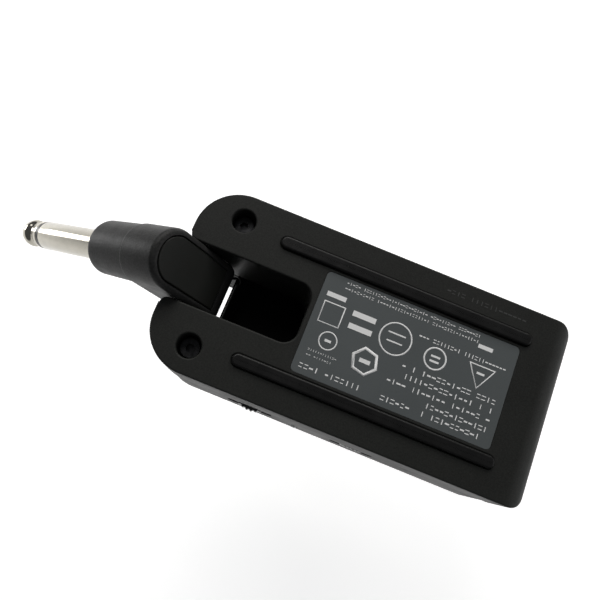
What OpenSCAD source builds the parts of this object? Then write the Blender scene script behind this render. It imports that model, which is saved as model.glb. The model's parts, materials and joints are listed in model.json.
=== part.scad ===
// Plug-in headphone amplifier for an electric guitar, with a swivelling jack plug.
// Body axes: +X from the plug end to the far end, +Z out of the labelled back face.
// The origin is the seat of the jack plug, where it meets the guitar.

/* [Body] */
// Length of the body, along X
body_length = 79; // [74:1:96]
// Width of each of the two lobes beside the slot
lobe_width = 12.75; // [12.5:0.05:17]
// Thickness of the body, from the front face to the back face
body_depth = 29; // [28:0.5:36]
// Thickness of the outer walls
wall = 1.6; // [1.3:0.1:2]
// Radius of the plug-end corners, seen from the back
lobe_radius = 9.2; // [6:0.1:10]
// Radius of the far corners, seen from the back
far_corner_radius = 4; // [3:0.5:6]
// Radius of the roll from the back face into the far end
far_roll_radius = 5; // [3:0.5:7]
// Height of the seam between the two shells, above the front face
seam_height = 18; // [17.4:0.1:19.5]
// Gap of the seam between the two shells
seam_gap = 0.2; // [0.1:0.05:0.3]

/* [Slot and channel] */
// Width of the slot that the arm swings in
slot_width = 12.5; // [12.3:0.1:15]
// Where the back pocket ends, from the plug end
pocket_end = 27; // [26:0.5:30]
// Radius of the two corners of the opening that the arm swings through
web_corner = 1.5; // [1:0.1:1.8]
// Radius of the pocket's two inner corners
pocket_corner_radius = 3; // [1:0.5:4]
// Radius of the lobes' corners at the mouth of the slot
mouth_radius = 1.5; // [0.5:0.25:2]
// Thickness of the walls beside the slot and channel
cheek = 1.4; // [1.2:0.1:1.8]
// Depth of the stow channel in the front face
channel_depth = 11.8; // [11.7:0.1:12.2]
// Clearance past the tip of the stowed plug
channel_end_gap = 2; // [1:0.5:5]

/* [Swivel arm] */
// Distance of the hinge axis from the plug end
hinge_x = 5.3; // [5.2:0.1:6]
// Height of the hinge axis above the front face
hinge_z = 19.4; // [19.2:0.1:19.6]
// Distance from the hinge axis to the plug axis
arm_offset = 13.6; // [13:0.1:13.6]
// Half of the arm's thickness, which is also the radius of its barrel
arm_half = 4.85; // [4.8:0.05:5]
// Radius of the edges of the arm's barrel and of its outer side
arm_edge = 1.2; // [1:0.1:1.6]
// Side clearance of the arm in the slot
arm_side_gap = 0.25; // [0.2:0.05:0.4]
// Angle of the plug past straight out, towards the front face
plug_angle = 37; // [0:1:60]
// Radius of the fixed hollow axle
axle_radius = 2; // [1.8:0.1:2.4]
// Radial running clearance of the axle in its bushes
axle_gap = 0.05; // [0.03:0.01:0.08]

/* [Jack plug] */
// Radius of the plug, as for any quarter-inch plug
plug_radius = 3.175; // [3.15:0.005:3.2]
// Length of the plug past the boot
plug_length = 30.5; // [29:0.5:32]
// Length of the plug's sleeve past the boot
sleeve_length = 21.8; // [20:0.1:23]
// Radius of the boot at its front end
boot_radius = 5.6; // [5:0.1:5.6]
// Radius of the boot where it meets the arm
boot_back_radius = 5.8; // [5.6:0.05:5.8]
// Distance of the boot's front end from the hinge axis
boot_reach = 16.2; // [15:0.1:20]
// Radius of the rounded edge at the boot's front end
boot_edge = 1.4; // [0.8:0.1:2]

/* [Screws and trim] */
// Distance of the two lobe screws from the plug end
lobe_screw_x = 8.8; // [8.6:0.1:10]
// Distance of the lobe screws from the side of the slot
lobe_screw_inset = 7.25; // [7.2:0.05:8]
// Distance of the two far locating pins from the far end
far_pin_inset = 12.5; // [11:0.5:14]
// Radius of the screw recesses
recess_radius = 2.4; // [2.2:0.1:2.6]
// Depth from the back face to the top of a screw head
recess_depth = 3.2; // [2.6:0.1:4]
// Radius of a screw head
head_radius = 1.9; // [1.7:0.1:2]
// Radius of a screw shank
screw_radius = 1; // [0.9:0.05:1.1]
// How far the screws bite into the posts of the front shell
screw_bite = 4.3; // [3:0.1:8]
// Where the two foot strips start, from the plug end
strip_start = 17.2; // [15:0.5:20]
// Gap from the end of the foot strips to the far end
strip_end_gap = 8.7; // [7:0.5:9]
// Distance of the foot strips' middle from the sides
strip_inset = 6.45; // [6:0.05:7]
// Width of a foot strip
strip_width = 2.5; // [2:0.1:3]
// Height of the foot strips above the back face
strip_rise = 0.8; // [0.4:0.1:1]
// Where the rating label starts, from the plug end
label_start = 28.05; // [28:0.05:30]
// Gap from the end of the rating label to the far end
label_end_gap = 10.2; // [9:0.1:12]
// Width of the rating label
label_width = 21.1; // [18:0.1:21.5]

/* [Controls] */
// Distance of the thumbwheel's axis from the plug end
wheel_x = 23.5; // [23:0.5:25]
// Radius of the thumbwheel
wheel_radius = 5.6; // [5.2:0.1:5.8]
// How far the thumbwheel stands out of the side
wheel_rise = 0.6; // [0.4:0.1:1.2]
// Thickness of the thumbwheel
wheel_width = 3.8; // [3:0.1:4]
// Distance of the power slider from the plug end, in its middle position
slider_x = 47; // [44:1:50]
// Travel of the power slider to each side of its middle position
slider_travel = 2; // [1:0.25:2]
// Distance of the power lens from the plug end
lens_x = 33.9; // [33:0.1:35]
// Distance of the first button pair from the plug end
pair_start = 20; // [19:0.5:21]
// Distance from one button pair to the next
pair_pitch = 12.4; // [12:0.1:12.5]
// Distance between the two buttons of a pair
button_pitch = 6; // [5.8:0.1:6.2]
// Travel of a button
button_travel = 0.4; // [0.2:0.05:0.5]
// How far a button stands out of the side
button_rise = 0.5; // [0.5:0.05:0.8]
// Radius of the headphone socket's bore
jack_bore = 1.8; // [1.75:0.01:1.9]
// Length of the headphone socket
jack_length = 15.3; // [14:0.1:15.3]

/* [Hidden] */
$fn = 64;

// Small clearances
over = 1;                       // how far a cut runs past a face
fit_gap = 0.05;                 // between glued or seated pieces
free_gap = 0.15;                // between a moving control and its window
groove = 0.15;                  // visible joint around an inset cover
print_gap = 0.02;               // between a thread and the hole that it bites

// Shells
body_width = slot_width + 2 * lobe_width;
half_width = body_width / 2;
half_slot = slot_width / 2;
web_gap = 0.3;                  // between the stowed arm and the web
front_inset = 0.2;              // the front shell is this much smaller in plan
front_end = body_length - wall - seam_gap;
web_top = channel_depth + wall;
pocket_floor = web_top + seam_gap;
arm_width = slot_width - 2 * arm_side_gap;
web_start = hinge_x + arm_half + web_gap;
cheek_start = front_inset + wall + seam_gap;
lip = 0.8;                      // tongue of the back shell inside the front shell
lip_height = 1.6;
floor_thickness = 1.8;

// Swivel
stow_end = hinge_x + boot_reach + plug_length + channel_end_gap;
hinge = [hinge_x, 0, hinge_z];
plug_seat = [hinge_x - arm_offset * sin(plug_angle) - boot_reach * cos(plug_angle), 0,
             hinge_z + arm_offset * cos(plug_angle) - boot_reach * sin(plug_angle)];
arm_end_radius = arm_width / 2;
cover_radius = arm_end_radius - arm_edge - groove;
cover_thickness = 1.2;
lead_space = 5.6;               // width of the wiring space in the arm
arm_wall = 2.2;                 // thickness of the arm in front of its wiring space
bush_radius = axle_radius + 0.9;
bush_length = 3.8;
axle_bore = 1.3;
boss_radius = axle_radius + 1.2;
axle_half = half_slot + cheek + 2.4;
washer_thickness = 0.6;
washer_radius = boss_radius;
clip_width = 0.5;

// Jack plug, measured from the boot's front end
insulator_length = 1;
ring_inset = 0.05;              // how far the ring and the tip lie below the sleeve
collar_length = 0.9;            // first part of the tip, slightly conical
collar_taper = 0.1;
waist_offset = 2.7;             // from the tip's base to its waist
waist_radius = 2.5;
bulb_radius = 3.1;
bulb_z = plug_length - 3.3;     // where the bulb is widest
rod_tail = 4;                   // rod of the tip past the sleeve's inner end
tip_bore = 1.7;                 // bore of the sleeve around the tip's rod
rod_radius = 1.15;
root_length = 9;                // part of the plug inside the boot
root_radius = 3.9;
neck_length = 2;                // narrower part of the sleeve, just inside the boot
neck_radius = 2.9;

// Screws
far_pin_x = body_length - far_pin_inset;
strip_y = half_width - strip_inset;
screw_places = [for (s = [-1, 1]) [lobe_screw_x, s * (half_slot + lobe_screw_inset)]];
pin_places = [for (s = [-1, 1]) [far_pin_x, s * strip_y]];
pin_radius = 1.4;
pin_height = 3;                 // how far a locating pin reaches into the back shell
head_height = 1.3;
head_seat = body_depth - recess_depth - head_height;
screw_length = head_seat - seam_height + seam_gap + screw_bite;
post_radius = recess_radius + 1;
pin_post_radius = 2.3;

// Pocket floor and the ribs that carry the board
tray_inset = 2.2;
tray_depth = 0.4;
rib_inset = 2;
rib_length = 1.2;
rib_y = 4;
rib_half = 1;

// Trim
strip_end = body_length - strip_end_gap;
strip_groove = 0.8;
label_end = body_length - label_end_gap;
label_recess = 0.2;
label_thickness = 0.16;
label_corner = 1;

// Electronics
board_thickness = 1.2;
board_z = web_top + 1.4;
board_top = board_z + board_thickness;
board_half = half_width - wall - front_inset - 1.4;
board_start = 15;
board_end = body_length - wall - 4;
board_neck = pocket_end + cheek + 1.2;
board_neck_y = half_slot + cheek + 0.8;
battery_start = pocket_end + cheek + 2;
battery_end = far_pin_x - post_radius - 0.6;
battery_half = 14.5;
battery_floor = board_top + 2;
battery_top = body_depth - floor_thickness - 2;
usb_width = 8.94;
usb_height = 3.2;
usb_length = 7.3;
usb_wall = 0.3;
usb_face = body_length - 0.3;
jack_z = 8;
jack_nose = 3;
jack_half = 3.5;
jack_back = body_length - jack_length;

// Thumbwheel and its control
wheel_y = wheel_radius - wheel_rise - half_width;
wheel_z = 8.4;
wheel_ribs = 28;
wheel_groove = 0.35;
pot_height = 1.9;
pot_half = 4.2;
pot_shaft = 1.5;

// Slider
slider_z = 9.5;
slider_length = 5;
slider_height = 3;
slider_flange = slider_length + 4 * slider_travel + 1.2;
slider_sink = 0.15;             // how far the knob lies below the side
peg_size = 1.4;
switch_face = half_width - wall - front_inset - 1.6;

// Buttons
button_z = 9.4;
button_length = 5;
button_height = 3.2;
button_corner = 1;
flange_margin = 0.7;
flange_thickness = 0.9;
side_inner = half_width - front_inset - wall;
flange_face = side_inner - free_gap;
button_stem = 1;
stem_end = flange_face - flange_thickness - 0.8;
switch_plunger = stem_end - button_travel - 0.1;
board_face = switch_plunger - 2.9;
lens_radius = 0.75;
lens_z = button_z + 4;
power_lens_z = 5.2;
pair_places = [for (i = [0:3]) pair_start + i * pair_pitch];

// Colours
matte_black = "#1c1d1e";
gloss_black = "#0e0f10";
rubber_black = "#101010";
label_grey = "#55585c";
nickel = "#cdcac2";
steel = "#a9abad";
board_green = "#1d5a37";
foil = "#b9bcc0";
pale = "#e9ebec";

// ---------- Shapes used more than once ----------

// A rectangle with rounded corners
module rounded(x0, x1, y0, y1, r) {
    translate([x0 + r, y0]) square([x1 - x0 - 2 * r, y1 - y0]);
    translate([x0, y0 + r]) square([x1 - x0, y1 - y0 - 2 * r]);
    for (x = [x0 + r, x1 - r], y = [y0 + r, y1 - r]) translate([x, y]) circle(r);
}

// A box from its two corners
module block(low, high) {
    translate(low) cube(high - low);
}

// A cylinder that lies along X, from x0 to x1
module rod_x(x0, x1, y, z, r) {
    translate([x0, y, z]) rotate([0, 90, 0]) cylinder(h = x1 - x0, r = r);
}

// A cylinder that lies along Y, from y0 to y1
module rod_y(x, y0, y1, z, r) {
    translate([x, y1, z]) rotate([90, 0, 0]) cylinder(h = y1 - y0, r = r);
}

// Outline of the body from the back, drawn in by a distance
module body_plan(inset = 0) {
    r1 = lobe_radius - inset;
    r2 = far_corner_radius - inset;
    h = half_width - inset;
    x1 = body_length - inset;
    translate([inset + r1, -h]) square([x1 - inset - r1 - r2, 2 * h]);
    translate([inset, r1 - h]) square([r1, 2 * (h - r1)]);
    translate([x1 - r2, r2 - h]) square([r2, 2 * (h - r2)]);
    for (s = [-1, 1]) {
        translate([inset + r1, s * (h - r1)]) circle(r1);
        translate([x1 - r2, s * (h - r2)]) circle(r2);
    }
}

// Outline of the slot or channel, which is open at the plug end
module slot_plan(x_end, grow = 0) {
    h = half_slot + grow;
    r = pocket_corner_radius + grow;
    translate([-over, -h]) square([x_end + grow - r + over, 2 * h]);
    translate([x_end + grow - r, r - h]) square([r, 2 * (h - r)]);
    for (s = [-1, 1]) translate([x_end + grow - r, s * (h - r)]) circle(r);
}

// The corners that the mouth of the slot loses
module mouth_corners() {
    for (s = [-1, 1]) difference() {
        translate([front_inset - over, s > 0 ? half_slot - over : -half_slot - mouth_radius])
            square([mouth_radius + over, mouth_radius + over]);
        translate([front_inset + mouth_radius, s * (half_slot + mouth_radius)]) circle(mouth_radius);
    }
}

// Side view of the body, with the roll at the far end, drawn in by a distance
module roll_profile(inset = 0) {
    r = far_roll_radius - inset;
    x1 = body_length - inset;
    z1 = body_depth - inset;
    translate([-over, -over]) square([x1 + over, z1 - r + over]);
    translate([-over, -over]) square([x1 - r + over, z1 + over]);
    translate([x1 - r, z1 - r]) circle(r);
}

// The rolled side view, as a solid across the whole width
module rolled(inset = 0) {
    translate([0, body_width, 0]) rotate([90, 0, 0])
        linear_extrude(2 * body_width) roll_profile(inset);
}

// Places a piece that is drawn in the arm's own frame: hinge axis on Y, arm up Z, plug along -X
module on_arm() {
    translate(hinge) rotate([0, -plug_angle, 0]) children();
}

// Moves the body frame so that the plug's seat is the origin
module placed() {
    translate(-plug_seat) children();
}

// Outline across a thumbwheel or button window, in a side wall, as a cut along Y
module side_window(x, z, length, height, r, side) {
    translate([x, side > 0 ? half_width + over : -half_width + wall + front_inset + over / 2, z])
        rotate([90, 0, 0]) linear_extrude(wall + front_inset + 1.5 * over)
            rounded(-length / 2, length / 2, -height / 2, height / 2, r);
}

// ---------- Shells ----------

// Back shell: labelled face, upper side walls, far end wall and the cheeks of the pocket
module back_shell() {
    color(matte_black) placed() difference() {
        union() {
            difference() {
                intersection() {
                    union() {
                        translate([0, 0, seam_height]) linear_extrude(body_depth - seam_height)
                            body_plan();
                        intersection() {
                            linear_extrude(body_depth) body_plan();
                            block([body_length - wall, -half_width, 0],
                                  [body_length, half_width, body_depth]);
                        }
                    }
                    rolled();
                }
                intersection() {
                    translate([0, 0, -over]) linear_extrude(body_depth - floor_thickness + over)
                        body_plan(wall);
                    rolled(wall);
                }
            }
            back_lip();
            back_cheeks();
            back_posts();
        }
        translate([0, 0, pocket_floor - over]) linear_extrude(body_depth) slot_plan(pocket_end);
        translate([0, 0, seam_height - over]) linear_extrude(body_depth) mouth_corners();
        rod_y(hinge_x, -axle_half, axle_half, hinge_z, axle_radius);
        for (s = [-1, 1])
            rod_y(hinge_x, s * half_slot - washer_thickness * 0.6,
                  s * half_slot + washer_thickness * 0.6, hinge_z, washer_radius + fit_gap);
        for (p = screw_places) translate([p[0], p[1], 0]) {
            translate([0, 0, head_seat]) cylinder(h = body_depth, r = recess_radius);
            cylinder(h = body_depth, r = screw_radius + free_gap);
        }
        for (p = pin_places) translate([p[0], p[1], 0])
            cylinder(h = seam_height + pin_height + 0.3, r = pin_radius + fit_gap);
        translate([0, 0, body_depth - strip_groove]) linear_extrude(body_depth)
            for (s = [-1, 1]) strip_plan(s, fit_gap);
        translate([0, 0, body_depth - label_recess]) linear_extrude(body_depth)
            label_plan(fit_gap);
        usb_opening();
        rod_x(body_length - 2 * wall, body_length + over, 0, jack_z, jack_nose + fit_gap);
    }
}

// Tongue that covers the seam from inside
module back_lip() {
    outer = wall + front_inset + fit_gap * 2;
    translate([0, 0, seam_height - lip_height]) linear_extrude(lip_height + wall) difference() {
        intersection() {
            body_plan(outer);
            translate([0, -half_width]) square([front_end - wall, body_width]);
        }
        body_plan(outer + lip);
        translate([-over, -axle_half - fit_gap]) square([board_start, 2 * (axle_half + fit_gap)]);
    }
}

// Walls beside the pocket, with bosses for the axle
module back_cheeks() {
    translate([0, 0, pocket_floor]) linear_extrude(body_depth - wall - pocket_floor)
        intersection() {
            slot_plan(pocket_end, cheek);
            translate([cheek_start, -half_width]) square([body_length, body_width]);
        }
    translate([0, 0, seam_height]) linear_extrude(body_depth - wall - seam_height)
        intersection() {
            slot_plan(pocket_end, cheek);
            translate([mouth_radius, -half_width]) square([body_length, body_width]);
        }
    rod_y(hinge_x, half_slot, axle_half - 1, hinge_z, boss_radius);
    rod_y(hinge_x, 1 - axle_half, -half_slot, hinge_z, boss_radius);
}

// Posts that the screws pass through, and sockets for the locating pins
module back_posts() {
    for (p = concat(screw_places, pin_places)) translate([p[0], p[1], seam_height])
        cylinder(h = body_depth - seam_height - wall, r = post_radius);
}

// Front shell: front face, stow channel, web and lower side walls
module front_shell() {
    color(gloss_black) placed() difference() {
        union() {
            difference() {
                linear_extrude(seam_height - seam_gap) front_plan(front_inset);
                translate([0, 0, floor_thickness]) linear_extrude(body_depth) difference() {
                    front_plan(front_inset + wall, over * 2);
                }
            }
            front_cheeks();
            front_posts();
            for (x = [board_neck + rib_inset, stow_end - rib_inset - rib_length], y = [-rib_y, rib_y])
                block([x, y - rib_half, channel_depth + wall / 2], [x + rib_length, y + rib_half, board_z]);
        }
        translate([0, 0, -over]) linear_extrude(channel_depth + over) slot_plan(stow_end);
        translate([0, 0, -over]) linear_extrude(body_depth) swing_plan();
        block([web_start + tray_inset, -half_slot, web_top - tray_depth],
              [pocket_end - tray_inset, half_slot, web_top + over]);
        translate([0, 0, -over]) linear_extrude(body_depth) mouth_corners();
        side_window(wheel_x, wheel_z + wheel_width / 2, 2 * wheel_chord() + 0.8,
                    wheel_width + 0.6, 0.6, -1);
        side_window(slider_x, slider_z, slider_length + 2 * slider_travel + 2 * free_gap,
                    slider_height + 2 * free_gap, 0.8, -1);
        side_window(lens_x, power_lens_z, 2 * lens_radius + 0.1, 2 * lens_radius + 0.1,
                    lens_radius, -1);
        for (x = pair_places) {
            side_window(x, lens_z, 2 * lens_radius + 0.1, 2 * lens_radius + 0.1, lens_radius, 1);
            for (s = [-1, 1])
                side_window(x + s * button_pitch / 2, button_z, button_length + 2 * free_gap,
                            button_height + 2 * free_gap, button_corner, 1);
        }
        for (p = screw_places) translate([p[0], p[1], head_seat - screw_length - 1])
            cylinder(h = body_depth, r = screw_radius + print_gap);
    }
    color(gloss_black) placed() web_lip();
}

// Opening that the arm swings through, short of the web by the radius of the web's rounded edge
module swing_plan() {
    x1 = web_start + wall / 2;
    y1 = half_slot - web_corner;
    translate([-over, -half_slot]) square([x1 - web_corner + over, slot_width]);
    translate([-over, -y1]) square([x1 + over, 2 * y1]);
    for (s = [-1, 1]) translate([x1 - web_corner, s * y1]) circle(web_corner);
}

// Half of the length that the thumbwheel needs in the outer face of the side wall
function wheel_chord() = sqrt(pow(wheel_radius, 2) - pow(wheel_radius - wheel_rise - wall, 2));

// Plan of the front shell, which stops short of the far end wall
module front_plan(inset, extra = 0) {
    intersection() {
        body_plan(inset);
        translate([-over, -half_width]) square([front_end + over + extra, body_width]);
    }
}

// Channel walls and the web between the channel and the back pocket
module front_cheeks() {
    intersection() {
        linear_extrude(web_top) slot_plan(stow_end, cheek);
        linear_extrude(body_depth) front_plan(front_inset);
    }
}

// Rounded edge of the web beside the arm's barrel
module web_lip() {
    y1 = half_slot - web_corner;
    rod_y(web_start + wall / 2, -y1, y1, channel_depth + wall / 2, wall / 2);
}

// Posts that the screws bite into, and stepped posts that carry the board and the pins
module front_posts() {
    for (p = concat(screw_places, pin_places)) translate([p[0], p[1], wall]) {
        cylinder(h = board_z - wall, r = post_radius - 0.4);
        cylinder(h = seam_height - seam_gap - wall, r = pin_post_radius);
    }
    for (p = pin_places) translate([p[0], p[1], wall])
        cylinder(h = seam_height + pin_height - wall, r = pin_radius);
}

// ---------- Trim and screws ----------

module label_plan(grow = 0) {
    rounded(label_start - grow, label_end + grow, -label_width / 2 - grow,
            label_width / 2 + grow, label_corner);
}

module strip_plan(side, grow = 0) {
    y0 = side * strip_y - strip_width / 2 - grow;
    rounded(strip_start - grow, strip_end + grow, y0, y0 + strip_width + 2 * grow,
            strip_width / 2 + grow - 0.001);
}

module rating_label() {
    color(label_grey) placed() translate([0, 0, body_depth - label_recess])
        linear_extrude(label_thickness) label_plan();
}

module foot_strip(side) {
    color(rubber_black) placed() translate([0, 0, body_depth - strip_groove])
        linear_extrude(strip_groove + strip_rise) strip_plan(side);
}

module foot_strip_left() {
    foot_strip(1);
}

module foot_strip_right() {
    foot_strip(-1);
}

// Two pan-head screws with a cross recess
module cover_screws() {
    color(steel) placed() for (p = screw_places) translate([p[0], p[1], head_seat]) difference() {
        union() {
            cylinder(h = head_height, r = head_radius);
            translate([0, 0, -screw_length]) cylinder(h = screw_length + 0.1, r = screw_radius);
        }
        for (a = [0, 90]) rotate([0, 0, a]) block([-1, -0.2, head_height - 0.7], [1, 0.2, over * 2]);
    }
}

// ---------- Swivel arm and jack plug ----------

// Outline of the arm across its thickness, in the arm's YZ plane
module arm_plan(r, z0) {
    translate([-r, z0]) square([2 * r, arm_offset - z0]);
    translate([0, arm_offset]) circle(r);
}

// Half of the arm's section, as radius and height: its two outer edges are rounded
module arm_section() {
    translate([0, -arm_half]) square([arm_end_radius, 2 * arm_half - arm_edge]);
    translate([0, -arm_half]) square([arm_end_radius - arm_edge, 2 * arm_half]);
    translate([arm_end_radius - arm_edge, arm_half - arm_edge]) circle(arm_edge);
}

// Half of the barrel's section, as radius and distance along the hinge axis
module barrel_section() {
    h = arm_width / 2;
    translate([0, -h]) square([arm_half - arm_edge, 2 * h]);
    translate([0, arm_edge - h]) square([arm_half, 2 * (h - arm_edge)]);
    for (s = [-1, 1]) translate([arm_half - arm_edge, s * (h - arm_edge)]) circle(arm_edge);
}

// The arm without its barrel, from the hinge axis to its round end
module arm_bar() {
    translate([0, 0, arm_offset]) rotate([0, 90, 0]) rotate_extrude() arm_section();
    linear_extrude(arm_offset) for (m = [0, 1]) mirror([0, m, 0]) rotate([0, 0, 90]) mirror([0, 1, 0])
        arm_section();
}

// A solid with the arm's outline, from x0 to x1 in the arm's frame
module arm_slab(x0, x1, r, z0) {
    translate([x0, 0, 0]) rotate([90, 0, 90]) linear_extrude(x1 - x0) arm_plan(r, z0);
}

module swivel_arm() {
    color(gloss_black) placed() on_arm() difference() {
        union() {
            rotate([90, 0, 0]) rotate_extrude() barrel_section();
            arm_bar();
        }
        arm_slab(arm_half - cover_thickness, arm_half + over, cover_radius, 0);
        arm_slab(arm_wall - arm_half, arm_half, lead_space / 2, axle_radius + 0.6);
        rod_y(0, -arm_width, arm_width, 0, bush_radius);
        translate([-arm_half - over, 0, arm_offset]) rotate([0, 90, 0])
            cylinder(h = arm_half, r = tip_bore);
    }
}

// Cover over the wiring space, on the side that faces away from the plug
module arm_cover() {
    color(gloss_black) placed() on_arm()
        arm_slab(arm_half - cover_thickness + fit_gap, arm_half, cover_radius - groove, groove);
}

// Moulded boot that holds the plug
module plug_boot() {
    front = boot_reach - arm_half;
    color(matte_black) placed() on_arm() translate([-arm_half, 0, arm_offset])
        rotate([0, -90, 0]) difference() {
            union() {
                cylinder(h = front - boot_edge, r1 = boot_back_radius, r2 = boot_radius);
                cylinder(h = front, r = boot_radius - boot_edge);
                translate([0, 0, front - boot_edge]) rotate_extrude() intersection() {
                    translate([boot_radius - boot_edge, 0]) circle(boot_edge);
                    square([boot_radius, boot_edge]);
                }
            }
            translate([0, 0, -over]) cylinder(h = front - neck_length + over, r = plug_radius);
            translate([0, 0, front - root_length]) cylinder(h = root_length - neck_length, r = root_radius);
            cylinder(h = front + over, r = neck_radius);
        }
}

// Places a piece of the plug: Z runs from the boot's front end towards the tip
module on_plug() {
    on_arm() translate([-boot_reach, 0, arm_offset]) rotate([0, -90, 0]) children();
}

module plug_sleeve() {
    color(nickel) placed() on_plug() difference() {
        union() {
            cylinder(h = sleeve_length, r = plug_radius);
            translate([0, 0, -neck_length]) cylinder(h = neck_length, r = neck_radius);
            translate([0, 0, -root_length]) cylinder(h = root_length - neck_length, r = root_radius);
        }
        translate([0, 0, -root_length - over])
            cylinder(h = root_length + sleeve_length + 2 * over, r = tip_bore);
    }
}

// Black ring and inner tube that insulate the tip from the sleeve
module tip_insulator() {
    color(rubber_black) placed() on_plug() difference() {
        union() {
            translate([0, 0, sleeve_length])
                cylinder(h = insulator_length, r = plug_radius - ring_inset);
            translate([0, 0, -root_length - 1])
                cylinder(h = root_length + sleeve_length + 1.5, r = tip_bore);
        }
        translate([0, 0, -root_length - 2])
            cylinder(h = root_length + sleeve_length + 5, r = rod_radius);
    }
}

// A smooth step from a to b, at a share t of the way
function eased(a, b, t) = a + (b - a) * (1 - cos(180 * t)) / 2;

// Tip: collar, waist and bulb turned in one piece with its rod
module plug_tip() {
    base = sleeve_length + insulator_length;
    collar = base + collar_length;
    waist = base + waist_offset;
    top = plug_radius - ring_inset;
    neck = top - collar_taper;
    steps = 8;
    color(nickel) placed() on_plug() {
        rotate_extrude() polygon(concat(
            [[0, base], [top, base]],
            [for (i = [0:steps]) [eased(neck, waist_radius, i / steps),
                                  collar + (waist - collar) * i / steps]],
            [for (i = [1:steps]) [eased(waist_radius, bulb_radius, i / steps),
                                  waist + (bulb_z - waist) * i / steps]],
            [for (i = [1:steps]) [bulb_radius * cos(90 * i / steps),
                                  bulb_z + (plug_length - bulb_z) * sin(90 * i / steps)]]));
        translate([0, 0, -root_length - rod_tail])
            cylinder(h = root_length + rod_tail + base + collar_length / 2, r = rod_radius);
    }
}

// ---------- Hinge ----------

// Fixed hollow axle, with a window for the leads
module hinge_axle() {
    color(steel) placed() translate(hinge) difference() {
        rod_y(0, -axle_half, axle_half, 0, axle_radius);
        rod_y(0, -axle_half - over, axle_half + over, 0, axle_bore);
        block([-axle_radius, -1.6, 0], [axle_radius, 1.6, axle_radius + over]);
        for (s = [-1, 1]) rotate([0, 0, s > 0 ? 0 : 180]) difference() {
            rod_y(0, axle_half - 1 + 0.1, axle_half - 0.9 + clip_width + 0.1, 0, axle_radius + over);
            rod_y(0, axle_half - over, axle_half + over, 0, axle_radius - 0.3);
        }
    }
}

// Two bushes that are pressed into the arm
module axle_bushes() {
    color(pale) placed() on_arm() for (s = [-1, 1]) difference() {
        rod_y(0, s * arm_width / 2 - (s > 0 ? bush_length : 0),
              s * arm_width / 2 + (s > 0 ? 0 : bush_length), 0, bush_radius);
        rod_y(0, -arm_width, arm_width, 0, axle_radius + axle_gap);
    }
}

// Two spring clips that keep the axle in its bosses
module axle_clips() {
    color(steel) placed() translate(hinge) for (s = [-1, 1]) rotate([0, 0, s > 0 ? 0 : 180])
        difference() {
            rod_y(0, axle_half - 0.85, axle_half - 0.85 + clip_width, 0, axle_radius + 0.55);
            rod_y(0, axle_half - over, axle_half + over, 0, axle_radius - 0.28);
            block([-0.8, axle_half - over, -axle_radius * 2], [0.8, axle_half + over, 0]);
        }
}

// Two washers that hold the arm at any angle
module friction_washers() {
    color(pale) placed() translate(hinge) for (s = [-1, 1]) rotate([0, 0, s > 0 ? 0 : 180])
        difference() {
            rod_y(0, arm_width / 2 + fit_gap, half_slot + washer_thickness * 0.6, 0, washer_radius);
            rod_y(0, 0, body_width, 0, axle_radius + print_gap);
        }
}

// Signal and ground leads in the arm
module arm_leads() {
    color("#b23b32") placed() on_arm() for (y = [-1.2, 1.2])
        translate([0.6, y, axle_radius + 0.9]) cylinder(h = arm_offset - axle_radius - 1.5, r = 0.5);
}

// Leads from the axle to the board
module body_leads() {
    color("#b23b32") placed() for (s = [-1, 1]) {
        rod_y(hinge_x, s > 0 ? 0.4 : -axle_half - 1, s > 0 ? axle_half + 1 : -0.4, hinge_z, 0.55);
    }
}

// ---------- Electronics ----------

module main_board() {
    color(board_green) placed() translate([0, 0, board_z]) linear_extrude(board_thickness)
        difference() {
            translate([board_start, -board_half]) square([board_end - board_start, 2 * board_half]);
            translate([board_start - over, -board_neck_y])
                square([board_neck - board_start + over, 2 * board_neck_y]);
            for (s = [-1, 1]) translate([far_pin_x, s * strip_y]) circle(pin_post_radius + 0.2);
        }
}

module board_chips() {
    color("#17181a") placed() {
        block([board_neck + 4, -11, board_top], [board_neck + 11, -4, board_top + 1]);
        block([board_neck + 14, -9, board_top], [board_neck + 19, -4, board_top + 0.9]);
        block([board_neck + 24, 5, board_top], [board_neck + 28, 10, board_top + 0.9]);
        block([board_start + 3, -14, board_top], [board_start + 8, -10, board_top + 1]);
    }
}

module shield_can() {
    color(foil) placed() block([board_neck + 8, -1.5, board_top], [board_neck + 20, 11, board_top + 1.6]);
}

module chip_antenna() {
    color(pale) placed() block([board_start + 1, board_half - 4, board_top],
                               [board_start + 8, board_half - 1.5, board_top + 1.2]);
}

module battery_cell() {
    color(foil) placed() translate([0, 0, battery_floor]) linear_extrude(battery_top - battery_floor)
        rounded(battery_start, battery_end, -battery_half, battery_half, 1.5);
}

module battery_pad() {
    color("#33363a") placed() block([battery_start + 3, -11, battery_top],
                                    [battery_end - 3, 11, body_depth - floor_thickness - fit_gap * 4]);
}

module battery_leads() {
    color("#b23b32") placed() for (y = [-1, 1])
        rod_x(battery_end, battery_end + 1.2, y, battery_floor + 1, 0.5);
}

module battery_connector() {
    color(pale) placed() block([battery_end + 1.2, -2.6, board_top],
                               [battery_end + 4.4, 2.6, battery_floor + 2]);
}

// Outline of the charging socket in the far end, drawn out by a distance
module usb_plan(grow) {
    w = usb_width / 2 + grow;
    h = usb_height / 2 + grow;
    rounded(-w, w, -h, h, h - 0.05);
}

// The socket's outline as a solid along X
module usb_solid(x0, x1, grow) {
    translate([x0, 0, board_top + usb_height / 2]) rotate([90, 0, 90])
        linear_extrude(x1 - x0) usb_plan(grow);
}

module usb_opening() {
    usb_solid(body_length - 2 * wall, body_length + over, free_gap);
}

module usb_socket() {
    color(steel) placed() difference() {
        usb_solid(usb_face - usb_length, usb_face, 0);
        usb_solid(usb_face - usb_length + 1, usb_face + over, -usb_wall);
    }
}

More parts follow.
